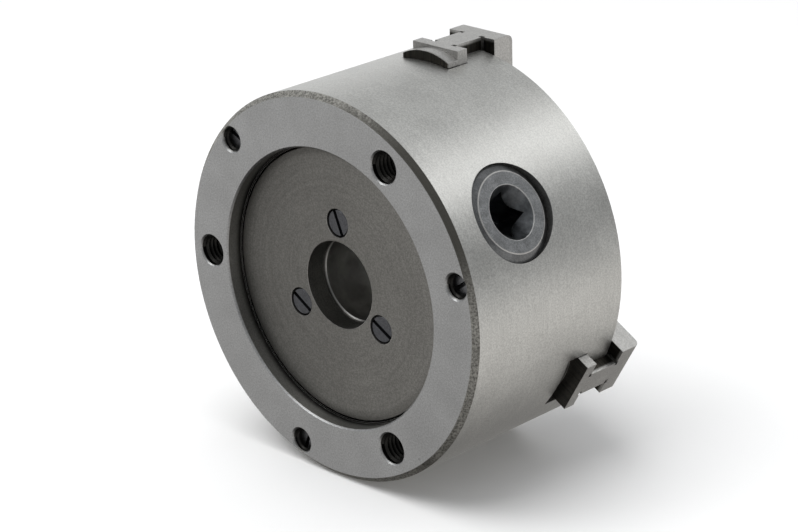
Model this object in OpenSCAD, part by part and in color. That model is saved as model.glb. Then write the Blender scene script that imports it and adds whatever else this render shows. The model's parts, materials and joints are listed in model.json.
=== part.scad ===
// Plain-back three-jaw self-centring lathe chuck of the 100 mm class.
// Frame: the spindle axis is Y. The mounting face lies on Y = 0 and looks to +Y,
// the jaws look to -Y, and the first jaw stands straight up on +Z.
// Each piece is drawn along its own Z, which is the distance w from the mounting face,
// with the first jaw on +y. chuck_frame() then lays it on its side.

/* [Node] */
// piece to show

/* [Body] */
// outside diameter of the body
body_d = 100; // [99:0.5:104]
// length of the body from the mounting face to the front face
body_len = 53.5; // [53:0.5:56]
// bevel at the rear rim
rear_chamfer = 1.4; // [0.6:0.1:2]
// bevel at the front rim
front_chamfer = 0.9; // [0.4:0.1:1.5]
// diameter of the rear recess that centres the chuck
register_d = 72; // [71.9:0.05:72.1]
// depth of the free recess behind the cover
register_depth = 4.5; // [4:0.1:4.8]
// through hole for bar stock
bore_d = 22; // [20:0.5:23]
// outside diameter of the hub that carries the scroll
hub_d = 40; // [39.9:0.01:40.02]

/* [Rear face holes] */
// circle of the three mounting holes
bolt_circle_d = 84; // [83.5:0.1:84.5]
// nominal thread diameter of the mounting holes
mount_hole_d = 8; // [6:0.5:8]
// depth of the mounting holes
mount_hole_depth = 20; // [14:1:24]
// circle of the screws that hold the pinions
keeper_circle_d = 91; // [90.8:0.05:91.2]
// angle from a pinion to its keeper screw
keeper_lead = 14.5; // [14.4:0.05:14.6]
// thread diameter of a keeper screw
keeper_d = 6; // [5.6:0.1:6.2]
// depth of a keeper screw's head below the face
keeper_depth = 2.6; // [2:0.1:4]

/* [Cover] */
// thickness of the dust cover
cover_t = 3.6; // [3.4:0.1:3.8]
// play around the cover's rim
cover_gap = 0.2; // [0.15:0.05:0.5]
// circle of the cover screws
cover_circle_d = 32.4; // [32:0.1:32.8]
// head diameter of a cover screw
cover_head_d = 7; // [6:0.1:7.4]
// head height of a cover screw
cover_head_h = 2.2; // [1.6:0.1:2.4]

/* [Pinions] */
// distance of the pinion axes from the mounting face
pinion_w = 20.9; // [20.8:0.05:21]
// diameter of the pinion's journal in the wall
pinion_d = 24.8; // [24.6:0.1:24.9]
// radius at which the pinion's outer face sits
pinion_face_r = 49.3; // [48.8:0.1:49.6]
// size of the square key socket
socket = 8; // [7:0.5:9]
// turn of the square in the pinion's face
socket_turn = 35; // [0:5:90]
// teeth on a pinion
pinion_teeth = 12; // [12:1:12]

/* [Scroll] */
// teeth on the back of the scroll
scroll_teeth = 42; // [42:3:42]
// pitch of the spiral
pitch = 6; // [6:1:6]
// thickness of the spiral's ridge
ridge_t = 2.8; // [2.6:0.05:2.9]
// outside diameter of the scroll
scroll_d = 70.4; // [70:0.1:70.5]

/* [Jaws] */
// width of a jaw's base and head
jaw_width = 15.4; // [15:0.1:15.6]
// width of the neck that runs in the front slot
neck_width = 7.4; // [7:0.1:8]
// distance of a jaw's outer end from the axis
jaw_out = 53; // [52.9:0.1:53.3]
// length of a jaw
jaw_len = 41.5; // [41:0.1:42]
// height of the low outer step above the front face
step_low = 6.7; // [6:0.1:8]
// height of the middle step
step_mid = 13; // [12:0.5:14]
// height of the inner step
step_high = 19.5; // [18:0.5:22]

/* [Hidden] */
body_r = body_d / 2;
register_r = register_d / 2;
bore_r = bore_d / 2;
hub_r = hub_d / 2;
keeper_r = keeper_circle_d / 2;
shoulder = 0.45;
cavity_r = register_r - shoulder;
cover_r = cavity_r - cover_gap;
cover_boss = 5.5;
hub_end = register_depth + cover_boss;
cover_hole_r = bore_r + 0.3;
pinion_r = pinion_d / 2;
scroll_r = scroll_d / 2;
run_gap = 0.05;

// Heights along the axis: tooth tips, ridge tips, web, jaw guide.
slot_floor = 36.5;
ridge_root = 36.2;
ridge_top = 39.9;
web = 40.2;
ledge = 43.6;
slot_width = 16;
throat_width = neck_width + 0.08;

// Bevel gearing: the cones share one apex on the axis at w = pinion_w.
gear_ref = 34.5;
pitch_slope = pinion_teeth / scroll_teeth;
ref_pitch_r = gear_ref * pitch_slope;
scroll_add = 1.15;
scroll_ded = 2;
pinion_add = 1.5;
pinion_ded = 1.65;
pressure = 20;
scroll_tooth_t = 2.35;
pinion_tooth_t = 2.3;
circular_pitch = 2 * PI * gear_ref / scroll_teeth;
gear_in = 25.2;
sleeve_r = 25;
sleeve_w = 27.8;
teeth_in = 25.6;
teeth_out = 36.2;

// Spiral: quarter turns about four centres.
quarter = pitch / 4;
quarters = 10;
spiral_r0 = 22.15;
groove_play = 0.3;

// Jaw teeth.
tooth_t = pitch - ridge_t - 2 * groove_play;
tooth_crest_r = 17;
tooth_hollow_r = 60;
tooth_limit = 20;
crest_0 = 52.55;
jaw_in = jaw_out - jaw_len;
relief = 1;
corner_r = 1.8;

$fn = 96;

module chuck_frame() {
    rotate([90, 0, 0])
        children();
}

// Turns a feature drawn on +y to another direction around the axis.
module around(angle) {
    rotate([0, 0, angle])
        children();
}

// Lays a shape drawn along z so that it points outward on the pinion's axis.
module outward() {
    translate([0, 0, pinion_w])
        rotate([-90, 0, 0])
            children();
}

// ---------------------------------------------------------------- body

module body_turning() {
    rotate_extrude()
        polygon([
            [bore_r + 0.8, hub_end],
            [hub_r - 0.5, hub_end],
            [hub_r, hub_end + 0.5],
            [hub_r, web],
            [cavity_r, web],
            [cavity_r, register_depth],
            [register_r, register_depth],
            [register_r, 0.4],
            [register_r + 0.4, 0],
            [body_r - rear_chamfer, 0],
            [body_r, rear_chamfer],
            [body_r, body_len - front_chamfer],
            [body_r - front_chamfer, body_len],
            [bore_r + 0.8, body_len],
            [bore_r, body_len - 0.8],
            [bore_r, hub_end + 0.8]
        ]);
}

// Tee slot for one jaw: a wide pocket under the front web and a narrow throat through it.
module jaw_slot() {
    translate([-slot_width / 2, 0, slot_floor])
        cube([slot_width, body_r + 5, ledge - slot_floor]);
    translate([-throat_width / 2, 0, ledge - 1])
        cube([throat_width, body_r + 5, body_len - ledge + 2]);
}

// Journal bore in the wall and pilot bore in the hub.
module pinion_bores() {
    outward() {
        translate([0, 0, 30])
            cylinder(r = pinion_r + run_gap, h = body_r - 25);
        translate([0, 0, 14.8])
            cylinder(r = 4 + run_gap, h = 10);
    }
}

module mounting_hole() {
    translate([0, bolt_circle_d / 2, -1])
        cylinder(d = mount_hole_d, h = mount_hole_depth + 1);
    translate([0, bolt_circle_d / 2, -0.01])
        cylinder(d1 = mount_hole_d + 0.8, d2 = mount_hole_d, h = 0.4);
}

module keeper_hole() {
    translate([0, keeper_r, -1])
        cylinder(d = keeper_d + 0.04, h = 13);
    translate([0, keeper_r, 11])
        cylinder(r = 2.2, h = 14);
    translate([0, keeper_r, -0.01])
        cylinder(d1 = keeper_d + 1.2, d2 = keeper_d, h = 0.6);
}

module cover_screw_tap() {
    translate([0, cover_circle_d / 2, hub_end - 1])
        cylinder(r = 2.02, h = 8);
}

module chuck_body() {
    color("silver")
        chuck_frame()
            difference() {
                body_turning();
                for (i = [0:2]) {
                    around(120 * i) jaw_slot();
                    around(120 * i) cover_screw_tap();
                    around(120 * i + 30) mounting_hole();
                    around(120 * i + 60) pinion_bores();
                    around(120 * i + 60 + keeper_lead) keeper_hole();
                }
            }
}

// ---------------------------------------------------------------- scroll

module scroll_blank() {
    tip_slope = (ref_pitch_r - scroll_add) / gear_ref;
    rotate_extrude()
        polygon([
            [hub_r + run_gap, sleeve_w],
            [sleeve_r, sleeve_w],
            [sleeve_r, pinion_w + sleeve_r * tip_slope],
            [scroll_r, pinion_w + scroll_r * tip_slope],
            [scroll_r, ridge_root],
            [hub_r + run_gap, ridge_root]
        ]);
}

// One tooth space, running in a straight taper toward the apex of the gearing.
module scroll_tooth_space() {
    near = gear_in / gear_ref;
    far = (scroll_r + 1) / gear_ref;
    root_w = ref_pitch_r + scroll_ded;
    mouth_w = ref_pitch_r - scroll_add - 1;
    half = (circular_pitch - scroll_tooth_t) / 2;
    root_half = half - scroll_ded * tan(pressure);
    mouth_half = half + (scroll_add + 1) * tan(pressure);
    outline = [[-mouth_half, mouth_w], [mouth_half, mouth_w], [root_half, root_w], [-root_half, root_w]];
    translate([0, 0, pinion_w])
        tapered_prism(outline, near, far);
}

// Prism that shrinks toward the origin; outline is [x, z] at y = gear_ref.
module tapered_prism(outline, near, far) {
    n = len(outline);
    points = [for (s = [near, far]) for (p = outline) [p[0] * s, gear_ref * s, p[1] * s]];
    sides = [for (i = [0:n - 1]) [i, (i + 1) % n, n + (i + 1) % n, n + i]];
    ends = [[for (i = [n - 1:-1:0]) i], [for (i = [0:n - 1]) n + i]];
    polyhedron(points = points, faces = concat(sides, ends));
}

// The ridge is a chain of quarter rings; each starts where the last one ended.
module spiral_ridge() {
    for (k = [0:quarters - 1])
        around(90 * k)
            translate([-quarter / 2, quarter / 2, ridge_root])
                rotate_extrude(angle = 90)
                    translate([spiral_r0 + quarter * k, -0.5])
                        square([ridge_t, ridge_top - ridge_root + 0.5]);
}

module scroll_plate() {
    color("dimgray")
        chuck_frame()
            union() {
                difference() {
                    scroll_blank();
                    for (k = [0:scroll_teeth - 1])
                        around(k * 360 / scroll_teeth) scroll_tooth_space();
                }
                intersection() {
                    spiral_ridge();
                    translate([0, 0, ridge_root - 1])
                        cylinder(r = scroll_r, h = 8);
                }
            }
}

// ---------------------------------------------------------------- cover and screws

module back_cover() {
    color("gray")
        chuck_frame()
            difference() {
                rotate_extrude()
                    polygon([
                        [cover_hole_r, register_depth],
                        [cover_r - 0.3, register_depth],
                        [cover_r, register_depth + 0.3],
                        [cover_r, register_depth + cover_t],
                        [hub_r - 0.2, register_depth + cover_t],
                        [hub_r - 0.2, hub_end],
                        [cover_hole_r, hub_end]
                    ]);
                for (i = [0:2])
                    around(120 * i)
                        translate([0, cover_circle_d / 2, register_depth]) {
                            translate([0, 0, -1])
                                cylinder(r = 2.1, h = 8);
                            translate([0, 0, -1])
                                cylinder(d = cover_head_d + 0.4, h = 3.5);
                        }
            }
}

module cover_screw(angle, slot_angle) {
    color("darkslategray")
        chuck_frame()
            around(angle)
                translate([0, cover_circle_d / 2, register_depth + 2.5 - cover_head_h])
                    difference() {
                        union() {
                            cylinder(d1 = cover_head_d - 0.6, d2 = cover_head_d, h = 0.3);
                            translate([0, 0, 0.3])
                                cylinder(d = cover_head_d, h = cover_head_h - 0.3);
                            cylinder(r = 2, h = 8.6);
                        }
                        around(slot_angle - angle)
                            translate([-0.5, -5, -1])
                                cube([1, 10, 2.1]);
                    }
}

module cover_screw_1() { cover_screw(0, 157); }
module cover_screw_2() { cover_screw(120, 119.5); }
module cover_screw_3() { cover_screw(240, 121.5); }

// Slotted screw whose plain tip rides in the pinion's groove.
module keeper_screw(angle, slot_angle) {
    color("darkslategray")
        chuck_frame()
            around(angle)
                translate([0, keeper_r, 0])
                    difference() {
                        union() {
                            translate([0, 0, keeper_depth])
                                cylinder(d = keeper_d, h = 11.2 - keeper_depth);
                            translate([0, 0, 11])
                                cylinder(r = 2, h = 13);
                        }
                        around(slot_angle - angle)
                            translate([-0.5, -4, keeper_depth - 1])
                                cube([1, 8, 2.4]);
                    }
}

module keeper_screw_1() { keeper_screw(60 + keeper_lead, 51.5); }
module keeper_screw_2() { keeper_screw(180 + keeper_lead, 20); }
module keeper_screw_3() { keeper_screw(300 + keeper_lead, 117.5); }

// ---------------------------------------------------------------- pinions

function involute(angle) = tan(angle) * 180 / PI - angle;
base_r = ref_pitch_r * cos(pressure);
half_tooth = pinion_tooth_t / 2 / ref_pitch_r * 180 / PI;

// Half angle of a tooth space at radius r on the reference section.
function space_half(r) = 180 / pinion_teeth - half_tooth - involute(pressure)
    + involute(acos(min(1, base_r / r)));

module pinion_tooth_space() {
    root_r = ref_pitch_r - pinion_ded;
    top_r = ref_pitch_r + pinion_add + 1;
    steps = 2;
    radii = concat([root_r], [for (i = [0:steps]) base_r + (top_r - base_r) * i / steps]);
    right = [for (r = radii) [r * sin(space_half(r)), r * cos(space_half(r))]];
    left = [for (i = [len(radii) - 1:-1:0]) [-right[i][0], right[i][1]]];
    tapered_prism(concat(left, right), (teeth_in - 1) / gear_ref, (teeth_out + 1) / gear_ref);
}

// Pilot, collar and the blank of the bevel teeth.
module teeth_blank() {
    tip_slope = (ref_pitch_r + pinion_add) / gear_ref;
    rotate_extrude()
        polygon([
            [0, 15.6],
            [3.6, 15.6],
            [4, 16],
            [4, 20.6],
            [5.5, 20.6],
            [5.5, teeth_in],
            [teeth_in * tip_slope, teeth_in],
            [teeth_out * tip_slope, teeth_out],
            [0, teeth_out]
        ]);
}

// Journal with the keeper's groove and the bevelled outer face.
module head_blank() {
    groove_out = 46.3;
    groove_in = 41.8;
    rotate_extrude()
        polygon([
            [0, teeth_out],
            [pinion_r, teeth_out],
            [pinion_r, groove_in],
            [9, groove_in],
            [9, groove_out],
            [pinion_r, groove_out],
            [pinion_r, pinion_face_r - 1.6],
            [pinion_r - 2.2, pinion_face_r],
            [0, pinion_face_r]
        ]);
}

// Square socket with a deep cone that guides the key.
module key_socket() {
    lead_in_r = 6.9;
    lead_in_depth = 4.3;
    translate([0, 0, teeth_out + 1])
        rotate([0, 0, socket_turn])
            translate([-socket / 2, -socket / 2, 0])
                cube([socket, socket, 20]);
    translate([0, 0, pinion_face_r - lead_in_depth])
        cylinder(r1 = lead_in_r - 0.69 * lead_in_depth, r2 = lead_in_r, h = lead_in_depth + 0.01);
}

module pinion(angle) {
    color("slategray")
        chuck_frame()
            around(angle)
                outward()
                    difference() {
                        head_blank();
                        key_socket();
                    }
}

// The inner end of the same pinion.
module pinion_teeth_end(angle) {
    color("slategray")
        chuck_frame()
            around(angle)
                difference() {
                    outward() teeth_blank();
                    translate([0, 0, pinion_w])
                        for (k = [0:pinion_teeth - 1])
                            rotate([0, (k + 0.5) * 360 / pinion_teeth, 0])
                                pinion_tooth_space();
                }
}

module pinion_1() { pinion(60); }
module pinion_2() { pinion(180); }
module pinion_3() { pinion(300); }
module pinion_teeth_1() { pinion_teeth_end(60); }
module pinion_teeth_2() { pinion_teeth_end(180); }
module pinion_teeth_3() { pinion_teeth_end(300); }

// ---------------------------------------------------------------- jaws

// Crescent tooth: it fits the groove at the small and at the large end of the spiral.
module jaw_tooth(crest) {
    intersection() {
        difference() {
            translate([0, crest - tooth_crest_r, slot_floor + 0.1])
                cylinder(r = tooth_crest_r, h = web - slot_floor);
            translate([0, crest - tooth_t - tooth_hollow_r, slot_floor - 1])
                cylinder(r = tooth_hollow_r, h = 8);
        }
        translate([-jaw_width / 2, crest - 8, slot_floor])
            cube([jaw_width, 10, 5]);
    }
}

// Point of the rounded corner at a jaw's outer end.
function end_round(a) = [jaw_out - corner_r, body_len + step_low - corner_r] + corner_r * [cos(a), sin(a)];

// Side view of the jaw in [y, w]: base, neck and three steps.
module jaw_steps() {
    rotate([90, 0, 90])
        linear_extrude(height = jaw_width, center = true)
            polygon([
                [jaw_in, web],
                [jaw_out, web],
                for (a = [0:15:90]) end_round(a),
                [jaw_out - 13.5, body_len + step_low],
                [jaw_out - 13.5, body_len + step_mid - 0.5],
                [jaw_out - 14, body_len + step_mid],
                [jaw_out - 26, body_len + step_mid],
                [jaw_out - 26, body_len + step_high - 0.5],
                [jaw_out - 26.5, body_len + step_high],
                [jaw_in + 0.5, body_len + step_high],
                [jaw_in, body_len + step_high - 0.5]
            ]);
}

// The three noses meet on planes 120 degrees apart when the chuck closes.
module jaw_nose() {
    for (side = [0, 1])
        mirror([side, 0, 0])
            translate([0.8, jaw_in, 0])
                rotate([0, 0, 30])
                    translate([0, -20, 30])
                        cube([30, 20, 60]);
}

// Guide grooves beside the neck, with a grinding relief in each corner.
module jaw_side_grooves() {
    groove_h = body_len - ledge + 0.08;
    for (side = [0, 1])
        mirror([side, 0, 0])
            translate([neck_width / 2, jaw_in - 1, ledge - 0.04]) {
                cube([20, jaw_len + 2, groove_h]);
                for (corner = [0, groove_h])
                    translate([0, 0, corner])
                        corner_relief();
            }
}

module corner_relief() {
    translate([-relief, 0, -relief / 2])
        cube([relief * 1.4, jaw_len + 2, relief]);
}

module jaw(angle, lead) {
    crest = crest_0 + lead > jaw_out - 0.2 ? crest_0 + lead - pitch : crest_0 + lead;
    teeth = floor((crest - tooth_limit) / pitch);
    color("lightgray")
        chuck_frame()
            around(angle) {
                difference() {
                    jaw_steps();
                    jaw_side_grooves();
                    jaw_nose();
                }
                for (k = [0:teeth])
                    jaw_tooth(crest - pitch * k);
            }
}

module jaw_1() { jaw(0, 0); }
module jaw_2() { jaw(120, pitch / 3); }
module jaw_3() { jaw(240, 2 * pitch / 3); }

chuck_body();
scroll_plate();
back_cover();
cover_screw_1();
cover_screw_2();
cover_screw_3();
keeper_screw_1();
keeper_screw_2();
keeper_screw_3();
pinion_1();
pinion_2();
pinion_3();
pinion_teeth_1();
pinion_teeth_2();
pinion_teeth_3();
jaw_1();
jaw_2();
jaw_3();
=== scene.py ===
import json
import math
import bmesh
import bpy
from mathutils import Matrix, Vector


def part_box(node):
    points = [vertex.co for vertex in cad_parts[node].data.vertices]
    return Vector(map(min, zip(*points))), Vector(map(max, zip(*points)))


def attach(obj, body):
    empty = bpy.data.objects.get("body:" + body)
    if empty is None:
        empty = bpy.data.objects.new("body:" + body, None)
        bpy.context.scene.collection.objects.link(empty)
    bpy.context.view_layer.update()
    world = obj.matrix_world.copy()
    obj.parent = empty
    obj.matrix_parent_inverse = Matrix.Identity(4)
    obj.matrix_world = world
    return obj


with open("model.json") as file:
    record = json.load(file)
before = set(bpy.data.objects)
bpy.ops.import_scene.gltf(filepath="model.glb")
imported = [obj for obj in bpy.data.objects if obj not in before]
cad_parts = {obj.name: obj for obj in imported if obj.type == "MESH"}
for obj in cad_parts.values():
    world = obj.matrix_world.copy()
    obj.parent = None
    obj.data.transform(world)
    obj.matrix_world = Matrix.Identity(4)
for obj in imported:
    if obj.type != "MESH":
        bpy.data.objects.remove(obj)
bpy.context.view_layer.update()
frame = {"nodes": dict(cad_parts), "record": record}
NODES = frame["nodes"]
MOUNTS = {m["name"]: m for m in frame["record"]["mounts"]}

MM = 0.001
BODY_LO, BODY_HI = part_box("chuck_body")
BODY_R = (BODY_HI.x - BODY_LO.x) / 2
BODY_LEN = BODY_HI.y - BODY_LO.y
REGISTER_R = MOUNTS["register"]["dims"]["r_mm"] * MM
BOLT_CIRCLE_R = MOUNTS["mounting_bolts"]["dims"]["pcd_mm"] / 2 * MM
BOLT_R = MOUNTS["mounting_bolts"]["dims"]["hole_r_mm"] * MM
BORE_R = MOUNTS["through_bore"]["dims"]["r_mm"] * MM
COVER_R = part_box("back_cover")[1].x
PINION_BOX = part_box("pinion_2")
PINION_Y = (PINION_BOX[0].y + PINION_BOX[1].y) / 2
PINION_END = -PINION_BOX[0].z
REAR_BEVEL = 1.4 * MM
KEEPER_R = 3 * MM
SOCKET_MOUTH_R = 6.9 * MM
FACE_RIM_R = PINION_BOX[1].x - 2.2 * MM
JAW_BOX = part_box("jaw_1")
JAW_END = JAW_BOX[1].z
TOOTH_END = -JAW_BOX[1].y
JAW_LEDGE = 43.6 * MM
THREAD_PITCH_M8 = 1.25 * MM
THREAD_PITCH_M6 = 1.0 * MM
GRAIN = 0.42 * MM
DIRECTIONS = (0, 120, 240)

# Base colours.
GROUND_STEEL = (0.545, 0.545, 0.525)
INNER_STEEL = (0.420, 0.418, 0.406)
REAR_FACE_STEEL = (0.530, 0.538, 0.542)
RIM_SMOOTH = (0.125, 0.121, 0.108)
RIM_GRAIN = (0.400, 0.393, 0.365)
BORE_STEEL = (0.42, 0.415, 0.40)
# Painted shade for the recess wall and the mounting holes.
HOLE_SHADE = (0.060, 0.058, 0.055)
PIT_DARK = (0.035, 0.032, 0.028)
COVER_STEEL = (0.250, 0.246, 0.232)
# Painted shade at the cover's rim; it also darkens a ring round the bore.
COVER_SHADE_DARK = (0.070, 0.067, 0.060)
COVER_SPECK = (0.62, 0.62, 0.60)
PINION_BLACK = (0.245, 0.251, 0.256)
PINION_RIM = (0.56, 0.55, 0.53)
SOCKET_BLACK = (0.140, 0.148, 0.156)
SOCKET_RIM = (0.66, 0.66, 0.65)
JAW_STEEL = (0.480, 0.475, 0.460)
# Black oil, and painted shade on the jaws' grooves and teeth.
JAW_OIL_AND_SHADE = (0.018, 0.016, 0.012)
SCROLL_STEEL = (0.30, 0.30, 0.29)
SCREW_BLACK = (0.130, 0.134, 0.145)
KEEPER_GREY = (0.235, 0.240, 0.252)
# Painted shade: threads deep inside the holes.
THREAD_SHADE = (0.034, 0.033, 0.031)
BODY_EDGE = (0.46, 0.455, 0.44)
COVER_EDGE = (0.42, 0.41, 0.39)
SCREW_EDGE = (0.22, 0.22, 0.23)
PINION_EDGE = (0.62, 0.62, 0.61)
JAW_EDGE = (0.46, 0.455, 0.44)
PAPER = (0.90, 0.90, 0.90)
BACKDROP_WHITE = (0.94, 0.945, 0.95, 1.0)

# Brightness of the room at a height of -1 (straight down) to 1 (straight up).
WORLD_STOPS = ((-1.0, 0.04), (-0.85, 0.12), (-0.7, 0.54), (-0.5, 0.85), (-0.3, 0.95), (-0.1, 0.60),
               (0.1, 0.28), (0.3, 0.36), (0.5, 0.58), (0.7, 0.62), (1.0, 0.80))


# ---------------------------------------------------------------- shader graph helper

class Graph:
    """Small wrapper that makes node trees readable."""

    def __init__(self, name):
        self.mat = bpy.data.materials.new(name)
        self.mat.use_nodes = True
        self.tree = self.mat.node_tree
        self.tree.nodes.clear()
        self.out = self.add("ShaderNodeOutputMaterial")
        self.shader = self.add("ShaderNodeBsdfPrincipled")
        self.tree.links.new(self.shader.outputs[0], self.out.inputs[0])
        self.place = self.add("ShaderNodeTexCoord").outputs["Object"]

    def add(self, kind):
        return self.tree.nodes.new(kind)

    def put(self, value, socket):
        if isinstance(value, bpy.types.NodeSocket):
            self.tree.links.new(value, socket)
        else:
            socket.default_value = value

    def math(self, op, a, b=0.0, c=0.0, clamp=False):
        n = self.add("ShaderNodeMath")
        n.operation = op
        n.use_clamp = clamp
        for value, socket in zip((a, b, c), n.inputs):
            self.put(value, socket)
        return n.outputs[0]

    def step(self, value, low, high):
        """Smooth 0 to 1 between low and high (or 1 to 0 where low is the larger)."""
        n = self.add("ShaderNodeMapRange")
        n.interpolation_type = "SMOOTHSTEP"
        turn = low > high
        first, last = (high, low) if turn else (low, high)
        self.put(value, n.inputs["Value"])
        n.inputs["From Min"].default_value = first
        n.inputs["From Max"].default_value = last
        n.inputs["To Min"].default_value = 1.0 if turn else 0.0
        n.inputs["To Max"].default_value = 0.0 if turn else 1.0
        return n.outputs[0]

    def split(self, vector):
        n = self.add("ShaderNodeSeparateXYZ")
        self.put(vector, n.inputs[0])
        return n.outputs

    def join(self, x, y, z):
        n = self.add("ShaderNodeCombineXYZ")
        for value, socket in zip((x, y, z), n.inputs):
            self.put(value, socket)
        return n.outputs[0]

    def noise(self, vector, scale, detail=2.0, rough=0.5):
        n = self.add("ShaderNodeTexNoise")
        self.put(vector, n.inputs["Vector"])
        n.inputs["Scale"].default_value = scale
        n.inputs["Detail"].default_value = detail
        n.inputs["Roughness"].default_value = rough
        return n.outputs["Fac"]

    def cells(self, vector, scale):
        n = self.add("ShaderNodeTexVoronoi")
        self.put(vector, n.inputs["Vector"])
        n.inputs["Scale"].default_value = scale
        return n.outputs["Distance"]

    def blend(self, fac, a, b):
        n = self.add("ShaderNodeMix")
        n.data_type = "RGBA"
        self.put(fac, n.inputs[0])
        for value, socket in ((a, n.inputs[6]), (b, n.inputs[7])):
            self.put(value if isinstance(value, bpy.types.NodeSocket) else (*value, 1.0), socket)
        return n.outputs[2]

    def shade(self, colour, fac, low, high):
        """Colour made darker or lighter between two factors by a 0 to 1 value."""
        scale = self.math("MULTIPLY_ADD", fac, high - low, low)
        n = self.add("ShaderNodeVectorMath")
        n.operation = "SCALE"
        self.put(colour, n.inputs[0])
        self.put(scale, n.inputs["Scale"])
        return n.outputs[0]

    def bump(self, height, depth, strength=1.0):
        n = self.add("ShaderNodeBump")
        n.inputs["Strength"].default_value = strength
        n.inputs["Distance"].default_value = depth
        self.put(height, n.inputs["Height"])
        self.tree.links.new(n.outputs[0], self.shader.inputs["Normal"])

    def finish(self, colour, rough, metallic=1.0):
        self.put(colour, self.shader.inputs["Base Color"])
        self.put(rough, self.shader.inputs["Roughness"])
        self.shader.inputs["Metallic"].default_value = metallic
        return self.mat


# ---------------------------------------------------------------- metals

def round_place(g):
    """(distance from the spindle axis, turn around it, place along it)."""
    x, y, z = g.split(g.place)
    r = g.math("SQRT", g.math("ADD", g.math("MULTIPLY", x, x), g.math("MULTIPLY", z, z)))
    return r, g.math("ARCTAN2", x, z), y


def radial_place(g, direction):
    """(place across, place along) for a piece that points outward in a direction of the chuck."""
    x, y, z = g.split(g.place)
    a = math.radians(direction)
    side = g.math("ADD", g.math("MULTIPLY", x, math.cos(a)), g.math("MULTIPLY", z, math.sin(a)))
    along = g.math("ADD", g.math("MULTIPLY", x, -math.sin(a)), g.math("MULTIPLY", z, math.cos(a)))
    return side, y, along


def band(g, value, low, high, soft):
    """1 between two values and 0 outside them, with soft ends."""
    return g.math("MULTIPLY", g.step(value, low - soft, low + soft), g.step(value, high + soft, high - soft))


def speckle(g, size=GRAIN, detail=3.0):
    """Fine grain stretched to the whole range from 0 to 1."""
    return g.step(g.noise(g.place, 1 / size, detail, 0.65), 0.32, 0.68)


def patches(g, scale, detail=4.0, rough=0.6):
    """Soft irregular patches from 0 to 1."""
    return g.step(g.noise(g.place, scale, detail, rough), 0.3, 0.7)


def turned_rings(g, r, turn, y, drift, scale):
    """Fine rings left by turning; the drift breaks them up a little on the way round."""
    return g.noise(g.join(r, g.math("MULTIPLY", turn, drift), y), scale, 3.0, 0.6)


def relief(g, first, first_part, second, second_part):
    """Height made of two patterns, each with its own weight."""
    return g.math("ADD", g.math("MULTIPLY", first, first_part), g.math("MULTIPLY", second, second_part))


def body_zones(g, r, y):
    """Masks of the body: ground outside, rear bevel, rear face, and painted shade on the register wall
    towards the cover and in the holes.
    """
    outside = g.step(r, BODY_R - 0.35 * MM, BODY_R - 0.1 * MM)
    bevel_r = band(g, r, BODY_R - REAR_BEVEL, BODY_R, 0.06 * MM)
    bevel = g.math("MULTIPLY", bevel_r, band(g, y, -REAR_BEVEL, -0.04 * MM, 0.06 * MM))
    face = g.math("MULTIPLY", g.step(y, -0.45 * MM, -0.05 * MM),
                  g.step(r, BODY_R - 0.5 * MM, BODY_R - 1.3 * MM))
    recess = g.step(r, REGISTER_R + 0.35 * MM, REGISTER_R - 0.05 * MM)
    # Painted shade mask: the register wall darkens towards its corner with the cover.
    wall = g.math("MULTIPLY", recess, g.step(y, -2.2 * MM, -4.4 * MM))
    wall = g.math("MULTIPLY", wall, g.step(y, -BODY_LEN + 0.5 * MM, -BODY_LEN + 2.0 * MM))
    holes = g.math("MULTIPLY", band(g, y, -25 * MM, -0.45 * MM, 0.2 * MM),
                   band(g, r, REGISTER_R + 1.1 * MM, BODY_R - 1.0 * MM, 0.15 * MM))
    return outside, bevel, face, g.math("ADD", wall, holes, clamp=True)


def rim_colour(g, turn, cast):
    """Rear bevel: grainy and lighter, except for a smooth dark stretch on one side."""
    worn = g.step(g.noise(g.place, 60.0, 3.0, 0.6), 0.25, 0.55)
    worn = g.math("MULTIPLY", worn, g.math("SUBTRACT", 1.0, band(g, turn, -1.30, -0.38, 0.22)))
    return g.blend(worn, RIM_SMOOTH, g.shade(RIM_GRAIN, cast, 0.50, 1.50))


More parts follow.
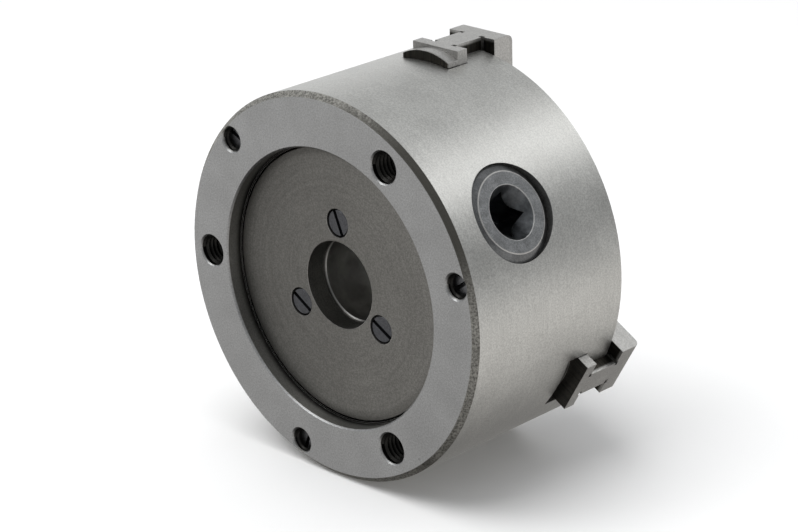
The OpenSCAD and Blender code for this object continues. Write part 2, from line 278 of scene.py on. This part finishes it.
def body_metal():
    """Ground outside, turned rear face, rough bevel, painted shade on the recess wall and in the holes."""
    g = Graph("body_ground_steel")
    r, turn, y = round_place(g)
    arc = g.math("MULTIPLY", turn, BODY_R)
    outside, bevel, face, dark = body_zones(g, r, y)
    rings = turned_rings(g, r, turn, 0.0, 0.0006, 2400.0)
    streaks = g.noise(g.join(g.math("MULTIPLY", arc, 0.12), y, 0.0), 900.0, 3.0, 0.6)
    fine = speckle(g)
    cloud = patches(g, 75.0)
    cast = speckle(g, 0.55 * MM, 4.0)
    pits = g.step(g.cells(g.place, 150.0), 0.060, 0.035)
    pits = g.math("MULTIPLY", pits, g.step(g.noise(g.place, 55.0), 0.56, 0.62))
    pits = g.math("MULTIPLY", pits, g.math("ADD", face, bevel, clamp=True))
    colour = g.blend(outside, INNER_STEEL, GROUND_STEEL)
    colour = g.blend(face, colour, REAR_FACE_STEEL)
    colour = g.shade(colour, fine, 0.84, 1.16)
    colour = g.shade(colour, streaks, 0.90, 1.10)
    colour = g.shade(colour, cloud, 0.94, 1.06)
    colour = g.blend(bevel, colour, rim_colour(g, turn, cast))
    # Painted shade: the recess wall and the mounting holes are turned nearly black; the bore keeps its steel
    # colour.
    bore = g.step(r, BORE_R + 0.4 * MM, BORE_R + 0.1 * MM)
    hole_shade_and_bore = g.blend(bore, HOLE_SHADE, BORE_STEEL)
    colour = g.blend(dark, colour, g.shade(hole_shade_and_bore, cloud, 0.6, 1.4))
    colour = g.blend(pits, colour, PIT_DARK)
    rough = g.math("MULTIPLY_ADD", fine, 0.06, 0.34)
    rough = g.math("ADD", rough, g.math("MULTIPLY", cloud, 0.04))
    rough = g.math("ADD", rough, g.math("MULTIPLY", bevel, 0.22))
    height = relief(g, rings, 0.5, fine, 0.35)
    height = g.math("ADD", height, g.math("MULTIPLY", g.math("MULTIPLY", cast, bevel), 3.5))
    height = g.math("SUBTRACT", height, g.math("MULTIPLY", pits, 6.0))
    g.bump(height, 0.012 * MM)
    return g.finish(colour, rough)


def turned_metal(name, colour, rough, swing=0.15, stain=0.0):
    """Lathe-turned metal with fine rings about the spindle axis, and old oil in patches."""
    g = Graph(name)
    r, turn, y = round_place(g)
    rings = turned_rings(g, r, turn, y, 0.0005, 2600.0)
    fine = speckle(g)
    cloud = patches(g, 110.0, 5.0, 0.65)
    shaded = g.shade(colour, fine, 1.0 - swing, 1.0 + swing)
    shaded = g.shade(shaded, rings, 0.9, 1.1)
    shaded = g.shade(shaded, cloud, 1.0 - stain, 1.0 + stain)
    g.bump(relief(g, rings, 0.6, fine, 0.4), 0.010 * MM)
    return g.finish(shaded, g.math("MULTIPLY_ADD", cloud, 0.10, rough - 0.05))


def cover_metal():
    """Dull turned cover, with painted shade towards its rim, darker around the bore, and painted light that
    makes one side lighter.
    """
    g = Graph("cover_turned")
    r, turn, y = round_place(g)
    across = g.split(g.place)[0]
    rings = g.step(turned_rings(g, r, turn, y, 0.0008, 1700.0), 0.3, 0.7)
    fine = speckle(g)
    cloud = patches(g, 62.0, 5.0)
    # Painted shade: darker towards the rim, where the recess wall meets the cover.
    rim_shade = g.math("MULTIPLY", g.step(r, COVER_R - 3.5 * MM, COVER_R), 0.45)
    deep = g.step(r, BORE_R + 0.7 * MM, BORE_R + 0.35 * MM)
    specks = g.step(g.cells(g.place, 95.0), 0.032, 0.022)
    specks = g.math("MULTIPLY", specks, g.step(g.noise(g.place, 40.0), 0.62, 0.66))
    colour = g.shade(COVER_STEEL, fine, 0.82, 1.18)
    colour = g.shade(colour, rings, 0.94, 1.06)
    colour = g.shade(colour, cloud, 0.92, 1.08)
    # Painted light: the cover is made lighter towards negative x and darker towards positive x.
    colour = g.shade(colour, g.step(across, COVER_R, -COVER_R), 0.95, 1.22)
    # The rim's painted shade and a darker ring round the bore share one dark colour.
    rim_shade_and_bore_dark = g.math("ADD", rim_shade, g.math("MULTIPLY", deep, 0.2), clamp=True)
    colour = g.blend(rim_shade_and_bore_dark, colour, COVER_SHADE_DARK)
    colour = g.blend(specks, colour, COVER_SPECK)
    g.bump(relief(g, rings, 0.5, fine, 0.5), 0.014 * MM)
    return g.finish(colour, g.math("MULTIPLY_ADD", cloud, 0.08, 0.43))


def pinion_metal(name, direction):
    """Blackened pinion: mottled turned face, painted shade on the bevel, rubbed rims, a darker socket."""
    g = Graph(name)
    side, y, along = radial_place(g, direction)
    w = g.math("SUBTRACT", y, PINION_Y)
    r = g.math("SQRT", g.math("ADD", g.math("MULTIPLY", side, side), g.math("MULTIPLY", w, w)))
    turn = g.math("ARCTAN2", side, w)
    rings = g.step(turned_rings(g, r, turn, 0.0, 0.0004, 2600.0), 0.3, 0.7)
    fine = speckle(g, 0.36 * MM)
    mottle = g.step(g.noise(g.place, 420.0, 4.0, 0.6), 0.35, 0.65)
    inside = g.math("MULTIPLY", g.step(r, SOCKET_MOUTH_R + 0.02 * MM, SOCKET_MOUTH_R - 0.10 * MM),
                    g.step(along, PINION_END, PINION_END - 0.25 * MM))
    colour = g.shade(PINION_BLACK, fine, 0.80, 1.20)
    colour = g.shade(colour, mottle, 0.86, 1.14)
    colour = g.shade(colour, rings, 0.95, 1.05)
    # Painted shade: the outer bevel is darkened all round, while the flat face is lightened a little.
    cone = g.step(r, FACE_RIM_R, FACE_RIM_R + 0.25 * MM)
    colour = g.shade(colour, cone, 1.12, 0.60)
    rubbed = g.math("MULTIPLY", band(g, r, FACE_RIM_R - 0.16 * MM, FACE_RIM_R + 0.16 * MM, 0.05 * MM), 0.75)
    colour = g.blend(rubbed, colour, PINION_RIM)
    colour = g.blend(inside, colour, g.shade(SOCKET_BLACK, mottle, 0.7, 1.3))
    mouth = band(g, r, SOCKET_MOUTH_R - 0.10 * MM, SOCKET_MOUTH_R + 0.12 * MM, 0.05 * MM)
    mouth = g.math("MULTIPLY", mouth, g.step(along, PINION_END - 0.35 * MM, PINION_END - 0.25 * MM))
    colour = g.blend(g.math("MULTIPLY", mouth, 0.75), colour, SOCKET_RIM)
    g.bump(relief(g, rings, 0.5, fine, 0.5), 0.012 * MM)
    return g.finish(colour, g.math("MULTIPLY_ADD", mottle, 0.10, 0.30))


def jaw_oil_and_shade(g, y, along, shade_strength):
    """Mask of black oil and painted shade: the guide grooves (oil, and painted shade in the gap), the dark
    tooth ends, and the side that faces the scroll, which gets painted shadow of the given strength.
    """
    groove = band(g, y, -BODY_LEN - 0.12 * MM, -JAW_LEDGE - 0.10 * MM, 0.08 * MM)
    groove = g.math("MULTIPLY", groove, g.step(along, JAW_END - 0.25 * MM, JAW_END - 1.1 * MM))
    tooth_end = g.step(y, -TOOTH_END - 0.30 * MM, -TOOTH_END - 0.05 * MM)
    rearward = g.split(g.add("ShaderNodeTexCoord").outputs["Normal"])[1]
    behind_ledge = g.step(y, -JAW_LEDGE, -JAW_LEDGE + 1.0 * MM)
    tooth_side = g.math("MULTIPLY", g.step(rearward, 0.55, 0.85), behind_ledge)
    tooth_side = g.math("MULTIPLY", tooth_side, shade_strength)
    return g.math("ADD", groove, g.math("ADD", tooth_end, tooth_side), clamp=True)


def jaw_metal(name, direction):
    """Hardened jaw steel ground along its length, with black oil and painted shade in the guide grooves and
    on the teeth.
    """
    g = Graph(name)
    side, y, along = radial_place(g, direction)
    lines = g.step(g.noise(g.join(side, y, g.math("MULTIPLY", along, 0.04)), 1500.0, 3.0, 0.6), 0.3, 0.7)
    fine = speckle(g)
    cloud = patches(g, 150.0)
    # Painted shadow on the teeth: strong on the two lower jaws, which lie in the body's shadow, and faint on
    # the top jaw.
    oil_and_shade = jaw_oil_and_shade(g, y, along, 0.10 if direction == 0 else 0.93)
    colour = g.shade(JAW_STEEL, fine, 0.86, 1.14)
    colour = g.shade(colour, lines, 0.94, 1.06)
    colour = g.shade(colour, cloud, 0.92, 1.08)
    colour = g.blend(g.math("MULTIPLY", oil_and_shade, 0.96), colour, g.shade(JAW_OIL_AND_SHADE, lines, 0.3, 2.2))
    g.bump(relief(g, lines, 0.6, fine, 0.4), 0.010 * MM)
    return g.finish(colour, g.math("MULTIPLY_ADD", cloud, 0.08, 0.40))


def edge_metal(name, colour, rough):
    """Rubbed bright metal that shows along broken edges."""
    g = Graph(name)
    wear = patches(g, 700.0, 3.0)
    g.bump(g.noise(g.place, 2600.0), 0.006 * MM)
    return g.finish(g.shade(colour, wear, 0.70, 1.2), g.math("MULTIPLY_ADD", wear, 0.15, rough - 0.07))


def floor_paint():
    """Pale paper that turns into even white far from the chuck."""
    g = Graph("floor_paper")
    x, y = g.split(g.place)[:2]
    far = g.math("SQRT", g.math("ADD", g.math("MULTIPLY", x, x), g.math("MULTIPLY", y, y)))
    far = g.step(far, 0.18, 0.70)
    speck = g.noise(g.place, 30.0, 3.0, 0.6)
    g.bump(g.noise(g.place, 900.0, 2.0), 0.02 * MM)
    g.shader.inputs["Emission Color"].default_value = BACKDROP_WHITE
    g.put(far, g.shader.inputs["Emission Strength"])
    paper = g.shade(PAPER, speck, 0.995, 1.005)
    return g.finish(g.blend(far, paper, (0.0, 0.0, 0.0)), 0.85, 0.0)


# ---------------------------------------------------------------- CAD nodes

def dress(node, main, edge=None, width=0.12):
    """Gives a CAD node its metal, and rounds its sharp edges (width in mm) into a second, rubbed one."""
    obj = NODES[node]
    obj.data.materials.clear()
    obj.data.materials.append(main)
    weld = obj.modifiers.new("weld", "WELD")
    weld.merge_threshold = 1e-7
    if edge is not None:
        obj.data.materials.append(edge)
        bevel = obj.modifiers.new("edges", "BEVEL")
        bevel.width = width * MM
        bevel.segments = 2
        bevel.limit_method = "ANGLE"
        bevel.angle_limit = math.radians(32)
        bevel.material = 1
        bevel.use_clamp_overlap = True
        bevel.harden_normals = False
    smooth = obj.modifiers.new("normals", "WEIGHTED_NORMAL")
    smooth.keep_sharp = True
    smooth.weight = 80
    return obj


def dress_all():
    dress("chuck_body", body_metal(), edge_metal("body_edge", BODY_EDGE, 0.38), 0.15)
    dress("back_cover", cover_metal(), edge_metal("cover_edge", COVER_EDGE, 0.36), 0.12)
    dress("scroll_plate", turned_metal("scroll_turned", SCROLL_STEEL, 0.36, stain=0.15))
    cover_screw = turned_metal("screw_blackened", SCREW_BLACK, 0.40, 0.2)
    keeper_screw = turned_metal("keeper_blackened", KEEPER_GREY, 0.38, 0.2)
    screw_edge = edge_metal("screw_edge", SCREW_EDGE, 0.36)
    for i, direction in enumerate(DIRECTIONS, 1):
        dress(f"cover_screw_{i}", cover_screw, screw_edge, 0.08)
        dress(f"keeper_screw_{i}", keeper_screw, screw_edge, 0.08)
        pinion = pinion_metal(f"pinion_blackened_{i}", direction + 60)
        dress(f"pinion_{i}", pinion, edge_metal(f"pinion_edge_{i}", PINION_EDGE, 0.28), 0.20)
        dress(f"pinion_teeth_{i}", pinion)
        dress(f"jaw_{i}", jaw_metal(f"jaw_ground_{i}", direction),
              edge_metal(f"jaw_edge_{i}", JAW_EDGE, 0.34), 0.22)


# ---------------------------------------------------------------- thread forms in the tapped holes

def thread_piece(name, centre, major, minor, pitch, start, end, metal):
    """Helical thread crest standing inward from a tapped hole's wall; the hole runs along -Y."""
    sides = 28
    turns = (end - start) / pitch
    count = int(turns * sides)
    profile = ((major + 0.02 * MM, -0.46), (minor, -0.07), (minor, 0.07), (major + 0.02 * MM, 0.46))
    verts, faces = [], []
    for i in range(count + 1):
        a = 2 * math.pi * i / sides
        depth = start + pitch * i / sides
        for radius, shift in profile:
            d = depth + shift * pitch
            verts.append((centre.x + radius * math.cos(a), -d, centre.z + radius * math.sin(a)))
    for i in range(count):
        for k in range(len(profile) - 1):
            a, b = i * len(profile) + k, (i + 1) * len(profile) + k
            faces.append((a, b, b + 1, a + 1))
    last = count * len(profile)
    faces.append((0, 1, 2, 3))
    faces.append((last + 3, last + 2, last + 1, last))
    faces.extend(back_strip(count, len(profile)))
    mesh = bpy.data.meshes.new(name)
    mesh.from_pydata(verts, [], faces)
    mesh.update()
    obj = bpy.data.objects.new(name, mesh)
    bpy.context.collection.objects.link(obj)
    mesh.materials.append(metal)
    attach(obj, "body")
    return obj


def back_strip(count, width):
    """Closes the thread crest along the hole's wall."""
    return [((i + 1) * width, i * width, i * width + width - 1, (i + 1) * width + width - 1)
            for i in range(count)]


def hole_centre(radius, angle):
    a = math.radians(angle)
    return Vector((-radius * math.sin(a), 0.0, radius * math.cos(a)))


def threads():
    # Painted shade: the threads inside the holes are nearly black.
    metal = turned_metal("thread_shaded", THREAD_SHADE, 0.38)
    for i, direction in enumerate(DIRECTIONS, 1):
        centre = hole_centre(BOLT_CIRCLE_R, direction + 30)
        thread_piece(f"mount_thread_{i}", centre, BOLT_R, BOLT_R - 0.62 * MM, THREAD_PITCH_M8,
                     0.9 * MM, 18.5 * MM, metal)
        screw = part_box(f"keeper_screw_{i}")
        middle = Vector(((screw[0].x + screw[1].x) / 2, 0.0, (screw[0].z + screw[1].z) / 2))
        thread_piece(f"keeper_thread_{i}", middle, KEEPER_R, KEEPER_R - 0.42 * MM, THREAD_PITCH_M6,
                     0.75 * MM, -screw[1].y - 0.5 * MM, metal)


# ---------------------------------------------------------------- stage, light, camera

def stage():
    """Floor just below the body; the metals don't mirror it, since the room light stands for it."""
    half = 4.0
    z = BODY_LO.z - 0.05 * MM
    mesh = bpy.data.meshes.new("floor")
    corners = [(-half, -half, z), (half, -half, z), (half, half, z), (-half, half, z)]
    mesh.from_pydata(corners, [], [(0, 1, 2, 3)])
    floor = bpy.data.objects.new("floor", mesh)
    bpy.context.collection.objects.link(floor)
    mesh.materials.append(floor_paint())
    floor.visible_glossy = False


def backdrop():
    """Pale surround that only the camera sees, so every low angle has a white background."""
    g = Graph("backdrop_paper")
    glow = g.add("ShaderNodeEmission")
    glow.inputs["Color"].default_value = BACKDROP_WHITE
    g.tree.links.new(glow.outputs[0], g.out.inputs[0])
    mesh = bpy.data.meshes.new("backdrop")
    shape = bmesh.new()
    bmesh.ops.create_uvsphere(shape, u_segments=64, v_segments=32, radius=6.0)
    shape.to_mesh(mesh)
    shape.free()
    obj = bpy.data.objects.new("backdrop", mesh)
    bpy.context.collection.objects.link(obj)
    mesh.materials.append(g.mat)
    for ray in ("diffuse", "glossy", "transmission", "volume_scatter", "shadow"):
        setattr(obj, f"visible_{ray}", False)


def softbox(name, place, target, size, power):
    data = bpy.data.lights.new(name, "AREA")
    data.shape = "RECTANGLE"
    data.size, data.size_y = size
    data.energy = power
    lamp = bpy.data.objects.new(name, data)
    bpy.context.collection.objects.link(lamp)
    lamp.location = place
    lamp.rotation_euler = (Vector(target) - Vector(place)).to_track_quat("-Z", "Y").to_euler()
    return lamp


def fade(tree, value, low, high, first, last):
    """Smooth change from first to last while the value goes from low to high."""
    n = tree.nodes.new("ShaderNodeMapRange")
    n.interpolation_type = "SMOOTHSTEP"
    n.inputs["From Min"].default_value = low
    n.inputs["From Max"].default_value = high
    n.inputs["To Min"].default_value = first
    n.inputs["To Max"].default_value = last
    tree.links.new(value, n.inputs["Value"])
    return n.outputs[0]


def product(tree, *values):
    """Product of any number of sockets."""
    total = values[0]
    for value in values[1:]:
        n = tree.nodes.new("ShaderNodeMath")
        n.operation = "MULTIPLY"
        tree.links.new(total, n.inputs[0])
        tree.links.new(value, n.inputs[1])
        total = n.outputs[0]
    return total


def studio_world():
    """Room light in bands by height, dimmer behind and in the chuck's shade, brighter on the far walls."""
    world = bpy.data.worlds.new("studio")
    bpy.context.scene.world = world
    world.use_nodes = True
    tree = world.node_tree
    place = tree.nodes.new("ShaderNodeTexCoord")
    split = tree.nodes.new("ShaderNodeSeparateXYZ")
    tree.links.new(place.outputs["Generated"], split.inputs[0])
    rise = tree.nodes.new("ShaderNodeMapRange")
    rise.inputs["From Min"].default_value = -1.0
    tree.links.new(split.outputs["Z"], rise.inputs["Value"])
    ramp = tree.nodes.new("ShaderNodeValToRGB")
    for stop in WORLD_STOPS[1:-1]:
        ramp.color_ramp.elements.new((stop[0] + 1) / 2)
    for element, (height, level) in zip(ramp.color_ramp.elements, WORLD_STOPS):
        warmth = 0.025 if height < -0.2 else -0.010
        element.position = (height + 1) / 2
        element.color = (level * (1 + warmth), level, level * (1 - warmth), 1.0)
    tree.links.new(rise.outputs[0], ramp.inputs[0])
    behind = fade(tree, split.outputs["Y"], -0.4, 0.8, 1.0, 0.60)
    beside = fade(tree, split.outputs["X"], -0.15, 0.45, 0.0, 0.50)
    low = fade(tree, split.outputs["Z"], -0.55, -0.35, 1.0, 0.0)
    shade = tree.nodes.new("ShaderNodeMath")
    shade.operation = "SUBTRACT"
    shade.inputs[0].default_value = 1.0
    tree.links.new(product(tree, beside, low), shade.inputs[1])
    tree.links.new(ramp.outputs[0], tree.nodes["Background"].inputs[0])
    walls = [fade(tree, split.outputs["Y"], 0.82, 0.98, 1.0, 1.8),
             fade(tree, split.outputs["X"], 0.78, 0.96, 1.0, 1.9),
             fade(tree, split.outputs["X"], -0.96, -0.84, 1.4, 1.0)]
    strength = product(tree, behind, shade.outputs[0], *walls)
    tree.links.new(strength, tree.nodes["Background"].inputs[1])


def lights():
    """Four softboxes; the big top one lights only the floor."""
    studio_world()
    centre = (0.0, -BODY_LEN / 2, 0.0)
    softbox("side", (1.0, -0.95, 0.30), centre, (1.1, 0.7), 1.6)
    softbox("key", (-0.20, -0.40, 0.36), centre, (0.34, 0.16), 0.25)
    top = softbox("top", (0.2, 0.3, 1.3), centre, (1.2, 1.2), 15.0)
    top.visible_glossy = False
    softbox("high", (0.50, 0.56, 0.90), centre, (0.5, 0.5), 1.8)


def camera():
    data = bpy.data.cameras.new("camera")
    data.sensor_width = 36.0
    data.lens = 119.05
    data.clip_start = 0.01
    cam = bpy.data.objects.new("camera", data)
    bpy.context.collection.objects.link(cam)
    right = Vector((-0.71418, -0.69947, -0.02619)).normalized()
    ahead = Vector((0.65893, -0.65922, -0.36227)).normalized()
    up = right.cross(ahead)
    turn = Matrix((right, up, -ahead)).transposed()
    cam.matrix_world = Matrix.Translation((-0.43745, 0.41224, 0.23935)) @ turn.to_4x4()
    bpy.context.scene.camera = cam


bpy.context.scene.view_settings.view_transform = "Standard"
dress_all()
threads()
stage()
backdrop()
lights()
camera()
